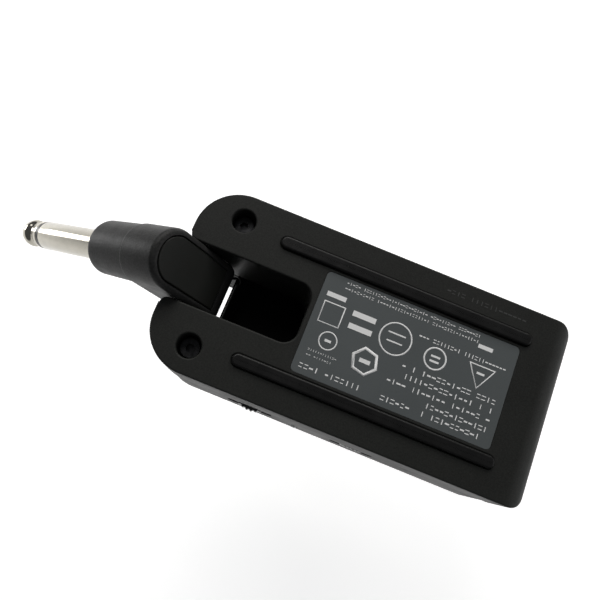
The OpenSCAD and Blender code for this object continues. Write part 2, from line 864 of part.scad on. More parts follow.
module usb_tongue() {
    z = board_top + usb_height / 2;
    color(rubber_black) placed() block([usb_face - usb_length + 1, -3.3, z - 0.35],
                                       [usb_face - 0.8, 3.3, z + 0.35]);
}

module headphone_jack() {
    color(rubber_black) placed() difference() {
        union() {
            block([jack_back, -jack_half, jack_z - jack_half], [front_end, jack_half, board_z]);
            rod_x(front_end - 0.5, body_length, 0, jack_z, jack_nose);
        }
        rod_x(jack_back + 1, body_length + over, 0, jack_z, jack_bore);
    }
}

// ---------- Controls ----------

// Knurled volume wheel, turning about Z
module volume_wheel() {
    color(gloss_black) placed() translate([wheel_x, wheel_y, wheel_z]) difference() {
        cylinder(h = wheel_width, r = wheel_radius);
        translate([0, 0, -over]) cylinder(h = wheel_width + 2 * over, r = pot_shaft + axle_gap);
        for (i = [0:wheel_ribs - 1]) rotate([0, 0, i * 360 / wheel_ribs])
            translate([wheel_radius + 0.1, 0, -over])
                cylinder(h = wheel_width + 2 * over, r = wheel_groove, $fn = 16);
    }
}

module volume_pot() {
    color(steel) placed() {
        block([wheel_x - pot_half, wheel_y - 1.4, board_z - pot_height],
              [wheel_x + pot_half, wheel_y + pot_half + 1, board_z]);
        translate([wheel_x, wheel_y, wheel_z + 0.3])
            cylinder(h = board_z - pot_height - wheel_z, r = pot_shaft);
    }
}

// Power slider: knob, flange behind the wall and the peg that works the switch
module power_slider() {
    color(matte_black) placed() translate([slider_x, -half_width, slider_z]) {
        translate([0, wall + front_inset + free_gap + 0.5, 0]) rotate([90, 0, 0])
            linear_extrude(wall + front_inset + free_gap + 0.5 - slider_sink)
                rounded(-slider_length / 2, slider_length / 2, -slider_height / 2,
                        slider_height / 2, 0.6);
        block([-slider_flange / 2, wall + front_inset + free_gap, -slider_height / 2 - 0.9],
              [slider_flange / 2, wall + front_inset + free_gap + 0.8, slider_height / 2 + 0.9]);
        block([-peg_size / 2, wall + front_inset + free_gap, -peg_size / 2],
              [peg_size / 2, half_width - switch_face + 1.2, peg_size / 2]);
    }
}

module slide_switch() {
    reach = slider_travel + peg_size / 2 + 0.3;
    color(steel) placed() difference() {
        block([slider_x - 5, -switch_face, slider_z - 2], [slider_x + 5, 3.4 - switch_face, board_z]);
        block([slider_x - reach, -switch_face - over, slider_z - peg_size / 2 - 0.3],
              [slider_x + reach, 1.6 - switch_face, slider_z + peg_size / 2 + 0.3]);
    }
}

// Light pipe of the power light, from the board down and out through the side
module power_lens() {
    color(pale) placed() {
        rod_y(lens_x, -half_width - 0.1, -board_half + 3, power_lens_z, lens_radius);
        translate([lens_x, -board_half + 3 - lens_radius, power_lens_z])
            cylinder(h = board_z - power_lens_z - 0.9, r = lens_radius);
    }
}

// Lenses above the button pairs
module status_lenses() {
    color(pale) placed() for (x = pair_places)
        rod_y(x, board_face + 1.1, half_width + 0.1, lens_z, lens_radius);
}

// Light-emitting diodes behind the lenses
module status_leds() {
    color("#f3e9c0") placed() {
        for (x = pair_places)
            block([x - 0.8, board_face, lens_z - 0.5], [x + 0.8, board_face + 1, lens_z + 0.5]);
        block([lens_x - 0.8, -board_half + 1.6, board_z - 0.8], [lens_x + 0.8, -board_half + 3, board_z]);
    }
}

module button_board() {
    color(board_green) placed()
        block([board_start, board_face - board_thickness, 4.4],
              [far_pin_x - post_radius - 0.4, board_face, board_z - 0.2]);
}

module tact_switches() {
    color(steel) placed() for (x = pair_places, s = [-1, 1])
        translate([x + s * button_pitch / 2, board_face, button_z]) {
            block([-1.8, 0, -1.8], [1.8, 2, 1.8]);
            rod_y(0, 1.5, switch_plunger - board_face, 0, 0.9);
        }
}

// One push button of a pair: side is -1 for the lower and 1 for the higher one
module push_button(pair, side) {
    color(matte_black) placed() translate([pair_places[pair] + side * button_pitch / 2, 0, button_z]) {
        translate([0, half_width + button_rise, 0]) rotate([90, 0, 0])
            linear_extrude(half_width + button_rise - flange_face + 0.2)
                rounded(-button_length / 2, button_length / 2, -button_height / 2,
                        button_height / 2, button_corner - 0.05);
        block([-button_length / 2 - 0.3, flange_face - flange_thickness,
               -button_height / 2 - flange_margin],
              [button_length / 2 + 0.3, flange_face, button_height / 2 + flange_margin]);
        rod_y(0, stem_end, flange_face - flange_thickness + 0.1, 0, button_stem);
    }
}

module voice_down_button() {
    push_button(0, -1);
}

module voice_up_button() {
    push_button(0, 1);
}

module tone_down_button() {
    push_button(1, -1);
}

module tone_up_button() {
    push_button(1, 1);
}

module effect_down_button() {
    push_button(2, -1);
}

module effect_up_button() {
    push_button(2, 1);
}

module level_down_button() {
    push_button(3, -1);
}

module level_up_button() {
    push_button(3, 1);
}

back_shell();
front_shell();
rating_label();
foot_strip_left();
foot_strip_right();
cover_screws();
swivel_arm();
arm_cover();
plug_boot();
plug_sleeve();
tip_insulator();
plug_tip();
hinge_axle();
axle_bushes();
axle_clips();
friction_washers();
arm_leads();
body_leads();
main_board();
board_chips();
shield_can();
chip_antenna();
battery_cell();
battery_pad();
battery_leads();
battery_connector();
usb_socket();
usb_tongue();
headphone_jack();
volume_wheel();
volume_pot();
power_slider();
slide_switch();
power_lens();
status_lenses();
status_leds();
button_board();
tact_switches();
voice_down_button();
voice_up_button();
tone_down_button();
tone_up_button();
effect_down_button();
effect_up_button();
level_down_button();
level_up_button();
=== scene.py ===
import json
import math
import bmesh
import bpy
from mathutils import Euler, Matrix, Vector
from mathutils.bvhtree import BVHTree


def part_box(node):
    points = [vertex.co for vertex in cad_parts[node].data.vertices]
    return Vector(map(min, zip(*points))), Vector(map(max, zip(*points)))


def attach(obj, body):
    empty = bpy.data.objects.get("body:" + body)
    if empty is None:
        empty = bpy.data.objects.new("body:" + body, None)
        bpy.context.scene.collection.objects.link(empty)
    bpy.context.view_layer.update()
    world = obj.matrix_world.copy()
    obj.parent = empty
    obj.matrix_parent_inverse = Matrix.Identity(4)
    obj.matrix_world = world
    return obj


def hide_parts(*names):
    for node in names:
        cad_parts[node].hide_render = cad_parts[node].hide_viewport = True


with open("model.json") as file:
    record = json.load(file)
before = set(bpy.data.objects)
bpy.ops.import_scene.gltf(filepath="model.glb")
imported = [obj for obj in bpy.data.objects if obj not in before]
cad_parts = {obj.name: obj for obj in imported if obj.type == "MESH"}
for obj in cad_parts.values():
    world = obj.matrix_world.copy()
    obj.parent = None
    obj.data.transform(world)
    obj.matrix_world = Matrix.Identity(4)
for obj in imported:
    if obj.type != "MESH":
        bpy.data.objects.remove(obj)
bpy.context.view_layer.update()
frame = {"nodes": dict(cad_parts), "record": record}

scene = bpy.context.scene
millimetre = 0.001


# small helpers

def add(tree, kind, inputs=None, **settings):
    node = tree.nodes.new(kind)
    for key, value in settings.items():
        setattr(node, key, value)
    for key, value in (inputs or {}).items():
        if isinstance(value, bpy.types.NodeSocket):
            tree.links.new(value, node.inputs[key])
        else:
            node.inputs[key].default_value = value
    return node


def combined(tree, operation, *values):
    return add(tree, "ShaderNodeMath", dict(enumerate(values)), operation=operation).outputs[0]


def linkObject(name, mesh):
    piece = bpy.data.objects.new(name, mesh)
    scene.collection.objects.link(piece)
    return piece


def finish(piece, body, slotName, *replaced):
    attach(piece, body)
    if replaced:
        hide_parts(*replaced)
    return piece


def smoothByAngle(mesh, degrees=35):
    sharpest = math.radians(degrees)
    work = bmesh.new()
    work.from_mesh(mesh)
    for face in work.faces:
        face.smooth = True
    for edge in work.edges:
        edge.smooth = not (edge.is_manifold and edge.calc_face_angle() > sharpest)
    work.to_mesh(mesh)
    work.free()


def baked(piece):
    # the evaluated result becomes the mesh, and the modifiers go
    bpy.context.view_layer.update()
    done = bpy.data.meshes.new_from_object(piece.evaluated_get(bpy.context.evaluated_depsgraph_get()))
    piece.modifiers.clear()
    piece.data = done
    return piece


# materials

def startMaterial(name):
    material = bpy.data.materials.new(name)
    material.use_nodes = True
    tree = material.node_tree
    tree.nodes.clear()
    shader = add(tree, "ShaderNodeBsdfPrincipled")
    output = add(tree, "ShaderNodeOutputMaterial", {"Surface": shader.outputs[0]})
    output.location = (300, 0)
    place = add(tree, "ShaderNodeTexCoord").outputs["Object"]
    return material, tree, shader, place


def mottle(tree, place, scale, detail=3.0, roughness=0.55, distortion=0.0):
    return add(tree, "ShaderNodeTexNoise",
               {"Vector": place, "Scale": scale, "Detail": detail, "Roughness": roughness,
                "Distortion": distortion}).outputs["Fac"]


def spread(tree, value, low, high, start=0.3, end=0.7):
    return add(tree, "ShaderNodeMapRange",
               {"Value": value, "From Min": start, "From Max": end, "To Min": low,
                "To Max": high}).outputs["Result"]


def blendColors(tree, value, first, second, start=0.35, end=0.65):
    ramp = add(tree, "ShaderNodeValToRGB", {"Fac": value})
    ramp.color_ramp.elements[0].position = start
    ramp.color_ramp.elements[0].color = (*first, 1)
    ramp.color_ramp.elements[1].position = end
    ramp.color_ramp.elements[1].color = (*second, 1)
    return ramp.outputs["Color"]


def bump(tree, height, depth, normal=None):
    inputs = {"Height": height, "Distance": depth, "Strength": 1.0}
    if normal is not None:
        inputs["Normal"] = normal
    return add(tree, "ShaderNodeBump", inputs).outputs["Normal"]


def mouldedPlastic(name, look):
    # spark-eroded grain, handling haze in the gloss, and a slow drift of colour
    material, tree, shader, place = startMaterial(name)
    haze = mottle(tree, place, look["hazeScale"], 4.0, 0.6, 0.4)
    grain = mottle(tree, place, look["grainScale"], 2.0, 0.7)
    smudge = mottle(tree, place, look["hazeScale"] * 3.1, 3.0)
    both = combined(tree, "MULTIPLY", haze, smudge)
    tone = add(tree, "ShaderNodeMix", {"Factor": look["speckle"], 2: haze, 3: grain}).outputs[0]
    tree.links.new(blendColors(tree, tone, look["color"], look["worn"]), shader.inputs["Base Color"])
    tree.links.new(spread(tree, both, look["roughness"] - look["roughSpread"],
                          look["roughness"] + look["roughSpread"], 0.12, 0.45),
                   shader.inputs["Roughness"])
    waves = bump(tree, smudge, look["waveDepth"])
    tree.links.new(bump(tree, grain, look["grainDepth"], waves), shader.inputs["Normal"])
    shader.inputs["Specular IOR Level"].default_value = look["specular"]
    return material


shellLook = {
    "color": (0.0115, 0.012, 0.0112), "worn": (0.021, 0.0218, 0.02), "roughness": 0.52,
    "roughSpread": 0.06, "specular": 0.16, "speckle": 0.75, "hazeScale": 45.0, "grainScale": 3800.0,
    "grainDepth": 0.000018, "waveDepth": 0.00001,
}
glossLook = {
    "color": (0.006, 0.0062, 0.0062), "worn": (0.009, 0.0092, 0.009), "roughness": 0.34,
    "roughSpread": 0.05, "specular": 0.008, "speckle": 0.5, "hazeScale": 60.0, "grainScale": 5200.0,
    "grainDepth": 0.000003, "waveDepth": 0.000008,
}
armLook = {
    "color": (0.009, 0.0098, 0.0085), "worn": (0.013, 0.0135, 0.0115), "roughness": 0.4,
    "roughSpread": 0.06, "specular": 0.2, "speckle": 0.6, "hazeScale": 70.0, "grainScale": 5200.0,
    "grainDepth": 0.000005, "waveDepth": 0.000008,
}
bootLook = {
    "color": (0.014, 0.014, 0.0138), "worn": (0.03, 0.03, 0.0295), "roughness": 0.46,
    "roughSpread": 0.08, "specular": 0.13, "speckle": 0.75, "hazeScale": 120.0, "grainScale": 2600.0,
    "grainDepth": 0.00003, "waveDepth": 0.00002,
}
rubberLook = {
    "color": (0.006, 0.006, 0.006), "worn": (0.009, 0.009, 0.009), "roughness": 0.4,
    "roughSpread": 0.08, "specular": 0.2, "speckle": 0.6, "hazeScale": 150.0, "grainScale": 2400.0,
    "grainDepth": 0.000012, "waveDepth": 0.00003,
}
labelLook = {
    "color": (0.078, 0.087, 0.089), "worn": (0.088, 0.097, 0.1), "roughness": 0.48,
    "roughSpread": 0.05, "specular": 0.25, "speckle": 0.5, "hazeScale": 60.0, "grainScale": 5000.0,
    "grainDepth": 0.000004, "waveDepth": 0.000006,
}
inkLook = {
    "color": (0.34, 0.36, 0.36), "worn": (0.4, 0.42, 0.415), "roughness": 0.55,
    "roughSpread": 0.05, "specular": 0.4, "speckle": 0.4, "hazeScale": 300.0, "grainScale": 5000.0,
    "grainDepth": 0.000004, "waveDepth": 0.000002,
}
faintInkLook = {
    "color": (0.03, 0.031, 0.031), "worn": (0.045, 0.046, 0.045), "roughness": 0.5,
    "roughSpread": 0.05, "specular": 0.4, "speckle": 0.4, "hazeScale": 300.0, "grainScale": 5000.0,
    "grainDepth": 0.000004, "waveDepth": 0.000002,
}
controlLook = {
    "color": (0.011, 0.011, 0.0115), "worn": (0.018, 0.018, 0.018), "roughness": 0.38,
    "roughSpread": 0.08, "specular": 0.5, "speckle": 0.5, "hazeScale": 130.0, "grainScale": 3600.0,
    "grainDepth": 0.000008, "waveDepth": 0.000006,
}
nylonLook = {
    "color": (0.006, 0.006, 0.006), "worn": (0.011, 0.011, 0.011), "roughness": 0.34,
    "roughSpread": 0.07, "specular": 0.5, "speckle": 0.5, "hazeScale": 200.0, "grainScale": 4000.0,
    "grainDepth": 0.000006, "waveDepth": 0.000006,
}
paleNylonLook = {
    "color": (0.66, 0.66, 0.62), "worn": (0.74, 0.74, 0.7), "roughness": 0.42,
    "roughSpread": 0.08, "specular": 0.5, "speckle": 0.4, "hazeScale": 160.0, "grainScale": 3600.0,
    "grainDepth": 0.000008, "waveDepth": 0.000006,
}
leadLook = {
    "color": (0.34, 0.03, 0.022), "worn": (0.42, 0.05, 0.035), "roughness": 0.42,
    "roughSpread": 0.1, "specular": 0.5, "speckle": 0.4, "hazeScale": 260.0, "grainScale": 3000.0,
    "grainDepth": 0.000008, "waveDepth": 0.00002,
}


def turnedMetal(name, look):
    # fine lathe rings round the axis, with a little handling haze
    material, tree, shader, place = startMaterial(name)
    turned = add(tree, "ShaderNodeMapping", {"Vector": place, "Rotation": look["turn"]},
                 vector_type="POINT").outputs[0]
    ringed = add(tree, "ShaderNodeMapping",
                 {"Vector": turned, "Scale": look["ringStretch"]}, vector_type="POINT").outputs[0]
    rings = mottle(tree, ringed, look["ringScale"], 3.0, 0.65)
    haze = mottle(tree, place, look["hazeScale"], 4.0, 0.6, 0.3)
    tree.links.new(blendColors(tree, haze, look["color"], look["worn"]), shader.inputs["Base Color"])
    mixed = combined(tree, "MULTIPLY", rings, haze)
    tree.links.new(spread(tree, mixed, look["roughness"] - look["roughSpread"],
                          look["roughness"] + look["roughSpread"], 0.12, 0.42),
                   shader.inputs["Roughness"])
    tree.links.new(bump(tree, rings, look["ringDepth"]), shader.inputs["Normal"])
    shader.inputs["Metallic"].default_value = 1.0
    return material


plugMount = next(m for m in frame["record"]["mounts"] if m["name"] == "plug")
plugAxis = Vector(plugMount["axis"]).normalized()
plugTilt = math.atan2(plugAxis.z, -plugAxis.x)      # how far the plug points below straight out

nickelLook = {
    "color": (0.37, 0.352, 0.305), "worn": (0.42, 0.4, 0.35), "roughness": 0.15,
    "roughSpread": 0.05, "hazeScale": 260.0, "ringScale": 900.0, "ringStretch": (6.0, 0.35, 0.35),
    "ringDepth": 0.0000012, "turn": (0.0, plugTilt, 0.0),
}
steelLook = {
    "color": (0.5, 0.5, 0.5), "worn": (0.62, 0.62, 0.63), "roughness": 0.3, "roughSpread": 0.08,
    "hazeScale": 300.0, "ringScale": 1200.0, "ringStretch": (0.4, 5.0, 0.4),
    "ringDepth": 0.000002, "turn": (0.0, 0.0, 0.0),
}
blackSteelLook = {
    "color": (0.02, 0.02, 0.021), "worn": (0.05, 0.05, 0.052), "roughness": 0.36,
    "roughSpread": 0.08, "hazeScale": 500.0, "ringScale": 1500.0, "ringStretch": (1.0, 1.0, 4.0),
    "ringDepth": 0.000003, "turn": (0.0, 0.0, 0.0),
}


def boardMaterial(name, look):
    # solder resist over copper tracks, which show as raised, lighter lines
    material, tree, shader, place = startMaterial(name)
    tracks = add(tree, "ShaderNodeTexBrick",
                 {"Vector": place, "Scale": look["trackScale"], "Mortar Size": 0.06,
                  "Color1": (0, 0, 0, 1), "Color2": (0.1, 0.1, 0.1, 1),
                  "Mortar": (1, 1, 1, 1)}).outputs["Color"]
    haze = mottle(tree, place, look["hazeScale"])
    mixed = combined(tree, "MULTIPLY", tracks, haze)
    tree.links.new(blendColors(tree, mixed, look["color"], look["track"], 0.1, 0.5),
                   shader.inputs["Base Color"])
    tree.links.new(spread(tree, haze, 0.22, 0.4), shader.inputs["Roughness"])
    tree.links.new(bump(tree, tracks, look["trackDepth"]), shader.inputs["Normal"])
    return material


boardLook = {
    "color": (0.01, 0.085, 0.035), "track": (0.03, 0.19, 0.08), "trackScale": 420.0,
    "hazeScale": 300.0, "trackDepth": 0.00002,
}


def creasedFoil(name, look):
    material, tree, shader, place = startMaterial(name)
    creases = add(tree, "ShaderNodeTexVoronoi", {"Vector": place, "Scale": look["creaseScale"]},
                  feature="DISTANCE_TO_EDGE").outputs["Distance"]
    haze = mottle(tree, place, look["hazeScale"], 4.0)
    tree.links.new(blendColors(tree, haze, look["color"], look["worn"]), shader.inputs["Base Color"])
    tree.links.new(spread(tree, haze, look["roughness"] - 0.08, look["roughness"] + 0.1),
                   shader.inputs["Roughness"])
    tree.links.new(bump(tree, creases, look["creaseDepth"], bump(tree, haze, look["hazeDepth"])),
                   shader.inputs["Normal"])
    shader.inputs["Metallic"].default_value = look["metallic"]
    return material


foilLook = {
    "color": (0.5, 0.51, 0.53), "worn": (0.64, 0.65, 0.67), "roughness": 0.3, "metallic": 0.9,
    "creaseScale": 160.0, "creaseDepth": 0.00003, "hazeScale": 120.0, "hazeDepth": 0.00004,
}
foamLook = {
    "color": (0.03, 0.03, 0.034), "worn": (0.06, 0.06, 0.066), "roughness": 0.85, "metallic": 0.0,
    "creaseScale": 1500.0, "creaseDepth": 0.0003, "hazeScale": 300.0, "hazeDepth": 0.0001,
}


def frostedLens(name, look):
    material, tree, shader, place = startMaterial(name)
    haze = mottle(tree, place, look["hazeScale"], 3.0)
    tree.links.new(blendColors(tree, haze, look["color"], look["worn"]), shader.inputs["Base Color"])
    tree.links.new(spread(tree, haze, 0.18, 0.34), shader.inputs["Roughness"])
    tree.links.new(bump(tree, haze, look["hazeDepth"]), shader.inputs["Normal"])
    shader.inputs["Transmission Weight"].default_value = look["clear"]
    shader.inputs["IOR"].default_value = 1.49
    return material


lensLook = {
    "color": (0.78, 0.79, 0.79), "worn": (0.88, 0.89, 0.89), "clear": 0.35, "hazeScale": 900.0,
    "hazeDepth": 0.00001,
}

matteShell = mouldedPlastic("matteShell", shellLook)
glossShell = mouldedPlastic("glossShell", glossLook)
armPlastic = mouldedPlastic("armPlastic", armLook)
bootPlastic = mouldedPlastic("bootPlastic", bootLook)
stripRubber = mouldedPlastic("stripRubber", rubberLook)
labelFilm = mouldedPlastic("labelFilm", labelLook)
labelInk = mouldedPlastic("labelInk", inkLook)
faintInk = mouldedPlastic("faintInk", faintInkLook)
controlPlastic = mouldedPlastic("controlPlastic", controlLook)
blackNylon = mouldedPlastic("blackNylon", nylonLook)
paleNylon = mouldedPlastic("paleNylon", paleNylonLook)
leadSheath = mouldedPlastic("leadSheath", leadLook)
plugNickel = turnedMetal("plugNickel", nickelLook)
brightSteel = turnedMetal("brightSteel", steelLook)
darkSteel = turnedMetal("darkSteel", blackSteelLook)
circuitBoard = boardMaterial("circuitBoard", boardLook)
batteryFoil = creasedFoil("batteryFoil", foilLook)
foamRubber = creasedFoil("foamRubber", foamLook)
clearLens = frostedLens("clearLens", lensLook)
print("materials made")


# moulded pieces: the design's own solids with their edges rounded

def edgeRoom(edge):
    # how wide the narrower of the two faces beside an edge is, measured square to the edge
    start, end = (v.co for v in edge.verts)
    along = (end - start).normalized()
    room = []
    for face in edge.link_faces:
        away = [(v.co - start) - along * (v.co - start).dot(along) for v in face.verts]
        room.append(max(a.length for a in away))
    return min(room)


def roundedCopy(name, node, material, radius, segments=3, share=0.4, sharpest=28):
    source = frame["nodes"][node]
    mesh = source.data.copy()
    mesh.name = name
    work = bmesh.new()
    work.from_mesh(mesh)
    bmesh.ops.remove_doubles(work, verts=work.verts, dist=1e-7)
    bmesh.ops.dissolve_limit(work, angle_limit=math.radians(0.4), verts=work.verts, edges=work.edges)
    weights = work.edges.layers.float.new("bevel_weight_edge")
    for face in work.faces:
        face.smooth = True
    for edge in work.edges:
        if not edge.is_manifold:
            continue
        angle = edge.calc_face_angle_signed()
        edge.smooth = abs(angle) < math.radians(sharpest)
        if angle > math.radians(sharpest):
            edge[weights] = min(1.0, share * edgeRoom(edge) / radius)
    work.to_mesh(mesh)
    work.free()
    mesh.materials.clear()
    mesh.materials.append(material)
    piece = linkObject(name, mesh)
    rounding = piece.modifiers.new("rounding", "BEVEL")
    rounding.limit_method = "WEIGHT"
    rounding.width = radius
    rounding.segments = segments
    rounding.use_clamp_overlap = False
    rounding.loop_slide = False
    rounding.harden_normals = True
    baked(piece)
    settle(piece.data, source.data, radius)
    return piece


def settle(mesh, design, radius, deepest=0.6):
    # corners that the bevel threw outside the design, or deeper than a share of its radius, go back
    corners = [v.co for v in design.vertices]
    surface = BVHTree.FromPolygons(corners, [tuple(p.vertices) for p in design.polygons])
    low = [min(corner[axis] for corner in corners) for axis in range(3)]
    high = [max(corner[axis] for corner in corners) for axis in range(3)]
    for vertex in mesh.vertices:
        spot, normal, face, distance = surface.find_nearest(vertex.co)
        outside = distance > 1e-6 and (vertex.co - spot).dot(normal) > 0
        if outside or distance > deepest * radius:
            vertex.co = spot
        vertex.co = [min(max(vertex.co[axis], low[axis]), high[axis]) for axis in range(3)]


moulded = {
    # piece: node, body, slot, material, edge radius
    "backShell": ("back_shell", "body", "matte_shell", matteShell, 0.00035),
    "frontShell": ("front_shell", "body", "gloss_shell", glossShell, 0.0004),
    "footStripLeft": ("foot_strip_left", "body", "strip_rubber", stripRubber, 0.00045),
    "footStripRight": ("foot_strip_right", "body", "strip_rubber", stripRubber, 0.00045),
    "ratingLabel": ("rating_label", "body", "label_film", labelFilm, 0.00006),
    "swivelArm": ("swivel_arm", "arm", "gloss_shell", bootPlastic, 0.0004),
    "armCover": ("arm_cover", "arm", "gloss_shell", armPlastic, 0.0003),
    "powerSlider": ("power_slider", "slider", "control_plastic", controlPlastic, 0.0003),
    "usbSocket": ("usb_socket", "body", "bright_steel", brightSteel, 0.0001),
    "usbTongue": ("usb_tongue", "body", "black_nylon", blackNylon, 0.00012),
    "headphoneJack": ("headphone_jack", "body", "black_nylon", blackNylon, 0.0003),
    "powerLens": ("power_lens", "body", "clear_lens", clearLens, 0.0003),
    "statusLenses": ("status_lenses", "body", "clear_lens", clearLens, 0.0003),
}
for key in ("voice", "tone", "effect", "level"):
    for step in ("down", "up"):
        moulded[f"{key}{step.title()}Button"] = (f"{key}_{step}_button", f"{key}_{step}_key",
                                                 "control_plastic", controlPlastic, 0.0003)
for name, (node, body, slotName, material, radius) in moulded.items():
    finish(roundedCopy(name, node, material, radius), body, slotName, node)
print("moulded pieces rounded")


# turned pieces of the plug

def turnedPiece(name, profile, material, segments=96):
    # profile: (distance along the plug from its seat, radius), closed round a ring or from axis to axis
    side = plugAxis.cross(Vector((0, 1, 0))).normalized()
    work = bmesh.new()
    rings = []
    for along, radius in profile:
        centre = plugAxis * along
        if radius < 1e-7:
            rings.append([work.verts.new(centre)])
            continue
        rings.append([work.verts.new(centre + side * (radius * math.cos(a)) + Vector((0, 1, 0)) *
                                     (radius * math.sin(a)))
                      for a in (math.tau * i / segments for i in range(segments))])
    solid = len(rings[0]) == 1
    pairs = list(zip(rings, rings[1:])) + ([] if solid else [(rings[-1], rings[0])])
    for first, second in pairs:
        for i in range(segments):
            j = (i + 1) % segments
            corners = [first[i % len(first)], first[j % len(first)], second[j % len(second)],
                       second[i % len(second)]]
            unique = list(dict.fromkeys(corners))
            if len(unique) > 2:
                work.faces.new(unique)
    bmesh.ops.recalc_face_normals(work, faces=work.faces)
    mesh = bpy.data.meshes.new(name)
    work.to_mesh(mesh)
    work.free()
    mesh.materials.append(material)
    smoothByAngle(mesh, 38)
    return linkObject(name, mesh)


def arc(x, r, radius, start, end, steps=8):
    # points of an arc in the profile plane, angles in degrees from the plug's axis
    turn = [math.radians(start + (end - start) * i / steps) for i in range(steps + 1)]
    return [(x + radius * math.cos(a), r + radius * math.sin(a)) for a in turn]


plugLook = {
    "radius": 0.003175, "sleeve": 0.0218, "insulator": 0.001, "length": 0.0305,
    "rootLength": 0.009, "rootRadius": 0.0039, "neckLength": 0.002, "neckRadius": 0.0029,
    "bore": 0.0017, "rod": 0.00115, "chamfer": 0.00015, "gapDepth": 0.00008,
    "ringEdge": 0.00012, "ringPlay": 0.00001, "ringTail": 0.001,
}


def plugSleeve(look):
    r, b, c = look["radius"], look["bore"], look["chamfer"]
    end, root = look["sleeve"], -look["rootLength"]
    neck = -look["neckLength"]
    profile = [(root, b), (root, look["rootRadius"]), (neck, look["rootRadius"]),
               (neck, look["neckRadius"]), (0.0, look["neckRadius"]), (0.0, r)]
    profile += [(end * 0.5, r)] + arc(end - c, r - c, c, 90, 0, 5) + [(end, b)]
    return turnedPiece("plugSleeve", profile, plugNickel)


def tipInsulator(look):
    start, end = look["sleeve"], look["sleeve"] + look["insulator"]
    r, b = look["radius"] - look["gapDepth"], look["bore"] - look["ringPlay"]
    root, edge = -look["rootLength"] - look["ringTail"], look["ringEdge"]
    profile = [(root, look["rod"]), (root, b), (start, b)]
    profile += arc(start + edge, r - edge, edge, 180, 90, 4)
    profile += arc(end - edge, r - edge, edge, 90, 0, 4) + [(end, look["rod"])]
    return turnedPiece("tipInsulator", profile, blackNylon)


tipShape = {
    # distances from the tip's base and radii, both in millimetres
    "collarLength": 0.9, "taper": 0.1, "waistAt": 2.7, "waistRadius": 2.5, "bulbRadius": 3.1,
    "nose": 3.3, "edge": 0.12, "inset": 0.05, "tail": 4.0, "slopeSteps": 14, "noseSteps": 24,
}


def plugTip(look, shape):
    base = look["sleeve"] + look["insulator"]
    edge = shape["edge"] * millimetre
    top = look["radius"] - shape["inset"] * millimetre
    collar = top - shape["taper"] * millimetre
    waist, bulb = shape["waistRadius"] * millimetre, shape["bulbRadius"] * millimetre
    nose = shape["nose"] * millimetre
    tail = -look["rootLength"] - shape["tail"] * millimetre
    stops = [base + shape["collarLength"] * millimetre, base + shape["waistAt"] * millimetre,
             look["length"] - nose]
    profile = [(tail, 0.0), (tail, look["rod"]), (base, look["rod"])]
    profile += arc(base + edge, top - edge, edge, 180, 90, 4)
    slopes = ((stops[0], stops[1], collar, waist), (stops[1], stops[2], waist, bulb))
    for start, end, first, last in slopes:   # eased, from the collar to the waist and the bulb
        for i in range(shape["slopeSteps"] + 1):
            t = i / shape["slopeSteps"]
            share = (1 - math.cos(math.pi * t)) / 2
            profile.append((start + (end - start) * t, first + (last - first) * share))
    for i in range(1, shape["noseSteps"] + 1):
        turn = i / shape["noseSteps"] * math.pi / 2
        profile.append((stops[2] + nose * math.sin(turn), bulb * math.cos(turn)))
    profile[-1] = (look["length"], 0.0)
    return turnedPiece("plugTip", profile, plugNickel)


bootShape = {
    "radius": 0.0056, "backRadius": 0.0058, "length": 0.01135, "edge": 0.0014, "lip": 0.00012,
}


def plugBoot(shape, plug):
    # tapered, with a rounded nose
    r, e, back = shape["radius"], shape["edge"], -shape["length"]
    inner, root, neck = plug["neckRadius"], -plug["rootLength"], -plug["neckLength"]
    lip = shape["lip"]
    profile = [(back, plug["radius"]), (back, shape["backRadius"]),
               ((back - e) / 2, (shape["backRadius"] + r) / 2)]
    profile += arc(-e, r - e, e, 90, 0, 14)
    profile += arc(-lip, inner + lip, lip, 0, -90, 3)
    profile += [(neck, inner), (neck, plug["rootRadius"]), (root, plug["rootRadius"]),
                (root, plug["radius"])]
    return turnedPiece("plugBoot", profile, bootPlastic, 128)


finish(plugSleeve(plugLook), "arm", "plug_nickel", "plug_sleeve")
finish(tipInsulator(plugLook), "arm", "black_nylon", "tip_insulator")
finish(plugTip(plugLook, tipShape), "arm", "plug_nickel", "plug_tip")
finish(plugBoot(bootShape, plugLook), "arm", "matte_shell", "plug_boot")
print("plug turned")


# geometry node trees

def newTree(name, inputs):
    tree = bpy.data.node_groups.new(name, "GeometryNodeTree")
    for label, (kind, value) in inputs.items():
        tree.interface.new_socket(label, in_out="INPUT", socket_type=kind).default_value = value
    tree.interface.new_socket("Geometry", in_out="OUTPUT", socket_type="NodeSocketGeometry")
    return tree, add(tree, "NodeGroupInput").outputs


def closeTree(tree, geometry, material):
    solid = add(tree, "GeometryNodeRealizeInstances", {"Geometry": geometry}).outputs[0]
    painted = add(tree, "GeometryNodeSetMaterial", {"Geometry": solid, "Material": material})
    add(tree, "NodeGroupOutput", {"Geometry": painted.outputs[0]})
    return tree


def grow(name, tree, values):
    piece = linkObject(name, bpy.data.meshes.new(name))
    modifier = piece.modifiers.new("build", "NODES")
    modifier.node_group = tree
    for item in tree.interface.items_tree:
        if item.in_out == "INPUT" and item.name in values:
            modifier[item.identifier] = values[item.name]
    return baked(piece)


def joined(name, pieces):
    work = bmesh.new()
    for piece in pieces:
        work.from_mesh(piece.data)
    mesh = bpy.data.meshes.new(name)
    work.to_mesh(mesh)
    work.free()
    mesh.materials.append(pieces[0].data.materials[0])
    for piece in pieces:
        bpy.data.objects.remove(piece)
    return linkObject(name, mesh)


